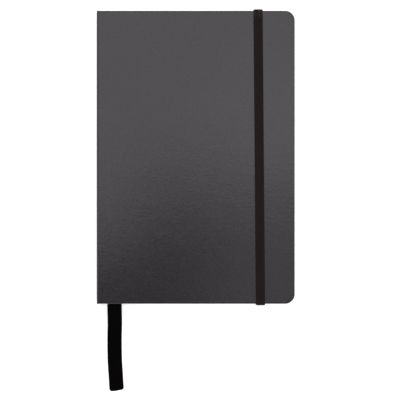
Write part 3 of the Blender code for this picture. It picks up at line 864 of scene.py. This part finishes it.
def ribbon_stations():
    """Place, across and normal along the ribbon, from the spine's head to its free end."""
    end_y = -(HEAD_Y + RIBBON_FREE)
    leave_y = -(HEAD_Y - 3.3 * MM)
    mid = MIDDLE_Z
    points = [
        Vector((RIBBON_HEAD_X - 3.9 * MM, 0.1010, mid)),
        Vector((RIBBON_HEAD_X - 2.6 * MM, 0.0950, mid)),
        Vector((RIBBON_HEAD_X - 0.6 * MM, 0.0830, mid)),
        Vector((RIBBON_HEAD_X + 0.9 * MM, 0.0650, mid)),
        Vector((-60.0 * MM, 0.0250, mid)),
        Vector((-59.2 * MM, -0.0300, mid)),
        Vector((RIBBON_TAIL_X, leave_y + 8 * MM, mid)),
        Vector((RIBBON_TAIL_X, leave_y - 1 * MM, mid - 0.1 * MM)),
        Vector((RIBBON_TAIL_X, -0.1090, mid - 1.7 * MM)),
        Vector((RIBBON_TAIL_X, -0.1145, mid - 4.6 * MM)),
        Vector((RIBBON_TAIL_X, -0.1205, 1.25 * MM)),
        Vector((RIBBON_TAIL_X - 0.20 * MM, -0.1275, 0.42 * MM)),
        Vector((RIBBON_TAIL_X - 0.22 * MM, -0.1370, 0.36 * MM)),
        Vector((RIBBON_TAIL_X + 0.02 * MM, -0.1475, 0.55 * MM)),
        Vector((RIBBON_TAIL_X + 0.68 * MM, -0.1580, 0.42 * MM)),
        Vector((RIBBON_TAIL_X + 1.25 * MM, end_y, 0.34 * MM)),
    ]
    places = smooth_path(points, 1.6 * MM)
    stations = []
    for i, place in enumerate(places):
        ahead = (places[min(i + 1, len(places) - 1)] - places[max(i - 1, 0)]).normalized()
        across = ahead.cross(Vector((0, 0, 1)))
        across = Vector((1, 0, 0)) if across.length < 0.2 else across.normalized() * -1
        stations.append((place, across, across.cross(ahead) * -1))
    return stations


def gather(y):
    """Share of the ribbon's width at y: it draws together where it dives into the spine."""
    share = min(1.0, max(0.0, (y - GATHER_FROM_Y) / (GATHER_TO_Y - GATHER_FROM_Y)))
    return 1 - GATHERED_AWAY * share * share * (3 - 2 * share)


def build_ribbon(material):
    """The ribbon with its slanted, heat-sealed end."""
    stations = []
    for place, across, normal in ribbon_stations():
        stations.append((place, across * gather(place.y), normal))
    piece = sweep_strip("ribbon", stations, RIBBON_WIDTH, RIBBON_THICK, material, RIBBON_COLUMNS, 0.0)
    end_y = stations[-1][0].y
    centre_x = stations[-1][0].x
    mesh = piece.data
    for vertex in mesh.vertices:
        reach = max(0.0, 1 - (vertex.co.y - end_y) / RIBBON_END)
        if reach <= 0:
            continue
        u = (vertex.co.x - centre_x) / (RIBBON_WIDTH / 2)
        slant = 0.75 * MM * max(0.0, u + 0.3)
        left = 1.1 * MM * max(0.0, (-u - 0.62) / 0.38) ** 2
        right = 0.9 * MM * max(0.0, (u - 0.70) / 0.30) ** 2
        vertex.co.y += (slant + left + right) * reach
        vertex.co.z += 0.12 * MM * math.sin(u * 2.4 + 0.4) * reach * reach
    return piece, [station[0] for station in stations]


# ------------------------------------------------------------------ stage


def floor_paper():
    """White backdrop paper, lifted by a glow of its own so that it stays clear of shadow."""
    colour = (0.95, 0.95, 0.95)
    graph = Graph("floor_paper", colour, 0.9)
    grain = graph.noise(graph.object_place(), 40.0, 2.0)
    low = tuple(c * 0.985 for c in colour)
    graph.colour(graph.ramp(grain, [(0.3, low), (0.7, colour)]))
    graph.shader.inputs["Emission Color"].default_value = (1.0, 1.0, 1.0, 1.0)
    graph.shader.inputs["Emission Strength"].default_value = FLOOR_GLOW
    return graph.material


def area_light(name, place, target, size, power):
    """A soft rectangle of light aimed at a point."""
    data = bpy.data.lights.new(name, "AREA")
    data.shape = "RECTANGLE"
    data.size = size[0]
    data.size_y = size[1]
    data.energy = power
    light = bpy.data.objects.new(name, data)
    light.location = place
    aim = (Vector(target) - Vector(place)).to_track_quat("-Z", "Y")
    light.rotation_mode = "QUATERNION"
    light.rotation_quaternion = aim
    bpy.context.scene.collection.objects.link(light)


def build_top_light():
    """Panels above the camera: the glossy cover mirrors the dark gap between them as a soft shade."""
    for name, (left, right), (near, far), share in TOP_PANELS:
        size = (right - left, far - near)
        centre = TOP_START + Vector(((left + right) / 2, (near + far) / 2, 0))
        power = share * TOP_RADIANCE * math.pi * size[0] * size[1]
        area_light(name, centre, (centre.x, centre.y, 0.0), size, power)


def build_stage():
    """Floor, light and the camera straight above."""
    mesh = bpy.data.meshes.new("floor")
    half = FLOOR_HALF
    corners = [(-half, -half, 0), (half, -half, 0), (half, half, 0), (-half, half, 0)]
    mesh.from_pydata(corners, [], [(0, 1, 2, 3)])
    mesh.materials.append(floor_paper())
    floor = bpy.data.objects.new("floor", mesh)
    bpy.context.scene.collection.objects.link(floor)

    world = bpy.data.worlds.new("studio")
    world.use_nodes = True
    background = world.node_tree.nodes["Background"]
    background.inputs["Color"].default_value = (1.0, 1.0, 1.0, 1.0)
    background.inputs["Strength"].default_value = WORLD_STRENGTH
    bpy.context.scene.world = world
    build_top_light()
    for name, degrees, power in SOFTBOXES:
        angle = math.radians(degrees)
        place = (SOFTBOX_REACH * math.cos(angle), SOFTBOX_REACH * math.sin(angle), SOFTBOX_HEIGHT)
        area_light(f"{name}_softbox", place, (0, 0, 0), SOFTBOX_SIZE, power)

    data = bpy.data.cameras.new("camera")
    data.sensor_width = SENSOR
    data.lens = SENSOR * CAMERA_DISTANCE / CAMERA_SEES
    data.clip_start = 0.05
    data.clip_end = 60.0
    camera = bpy.data.objects.new("camera", data)
    camera.location = (*CAMERA_XY, THICKNESS + CAMERA_DISTANCE)
    bpy.context.scene.collection.objects.link(camera)
    bpy.context.scene.camera = camera
    settings = bpy.context.scene.view_settings
    settings.view_transform = "Standard"
    settings.look = "None"
    settings.exposure = 0.0


# ------------------------------------------------------------------ assembly


def give(material, *nodes):
    """Give carried-over CAD nodes a material."""
    for name in nodes:
        for slot in bpy.data.objects[name].material_slots:
            slot.material = material


def dress_case(leather):
    """Put the leather on the covers and the spine, bending at the joints."""
    back = build_cover_leather("back", leather)
    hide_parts("back_cover_skin")
    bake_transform(back)
    wall, bend = build_spine_leather(leather)
    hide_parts("spine_skin")
    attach(wall, "spine")
    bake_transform(bend)
    front = build_cover_leather("front", leather)
    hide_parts("front_cover_skin")
    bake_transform(front)


def dress_pages(page, endpaper):
    """Leaves that curve into the gutter, and the folded endpapers."""
    rng = random.Random(20)
    for number in range(1, SIGNATURE_COUNT + 1):
        piece = build_signature(number, page, rng)
        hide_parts(f"signature_{number:02d}")
        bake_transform(piece)
    back, _, _ = build_endpaper("back", endpaper)
    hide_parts("back_pastedown", "back_flyleaf")
    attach(back, "back_cover")
    front, low, high = build_endpaper("front", endpaper)
    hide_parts("front_pastedown", "front_flyleaf")
    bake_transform(front)


def dress_bands(braid, satin):
    """The elastic's stretches and the ribbon."""
    pieces = build_elastic(braid)
    for label in ("head", "tail"):
        end, lower, upper = (pieces[f"{label}_{part}"] for part in ("end", "lower", "upper"))
        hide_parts(f"elastic_end_{label}")
        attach(end, "back_cover")
        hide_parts(f"elastic_side_{label}")
        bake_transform(lower)
        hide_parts(f"elastic_shoulder_{label}")
        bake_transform(upper)
    front = pieces["front"]
    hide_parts("elastic_front_run")
    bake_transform(front)
    ribbon, path = build_ribbon(satin)
    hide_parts("ribbon_marker")
    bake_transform(ribbon)


def main():
    """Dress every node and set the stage."""
    leather = leatherette()
    satin = woven_ribbon()
    page = paper("page_paper", (0.84, 0.81, 0.73), (0.74, 0.70, 0.61), 0.88)
    endpaper = paper("endpaper", (0.77, 0.74, 0.65), (0.71, 0.67, 0.57), 0.80)
    dress_case(leather)
    dress_pages(page, endpaper)
    dress_bands(braided_elastic(), satin)
    give(greyboard(), "back_board", "front_board")
    give(spine_card(), "spine_card")
    give(gauze(), "spine_lining")
    give(linen_thread(), *[f"sewing_thread_{n}" for n in range(1, THREADS + 1)])
    give(satin, "ribbon_glued_end")
    build_stage()


main()
